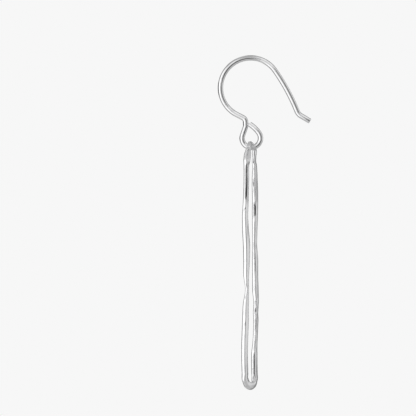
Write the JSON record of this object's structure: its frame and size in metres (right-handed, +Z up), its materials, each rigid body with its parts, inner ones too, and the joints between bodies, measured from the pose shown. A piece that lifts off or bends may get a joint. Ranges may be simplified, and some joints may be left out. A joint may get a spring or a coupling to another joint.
{
  "type": "bar drop earring",
  "caption": "Silver drop earring: a bent wire ear hook whose eye carries a long slim closed loop of irregular hammered bar.",
  "frame": {"origin": "underside of the hook's crest, where the hook hangs in the ear", "axes": "+Z up, +X from the bow towards the hook's open side and its tail, +Y across the hook's plane, away from the viewer"},
  "size_m": [0.014, 0.0042, 0.0502],
  "materials": {
    "hook_silver": "polished silver wire",
    "bar_silver": "hammered and polished silver"
  },
  "bodies": {
    "hook": {"ear_hook": "hook_silver"},
    "drop": {"bar_loop": "bar_silver"}
  },
  "joints": [
    {"name": "drop_swing", "type": "hinge", "parent": "hook", "child": "drop", "pos_m": [0.00013, 0, -0.01165], "axis": [0, 1, 0], "range_deg": [-60, 60]}
  ]
}
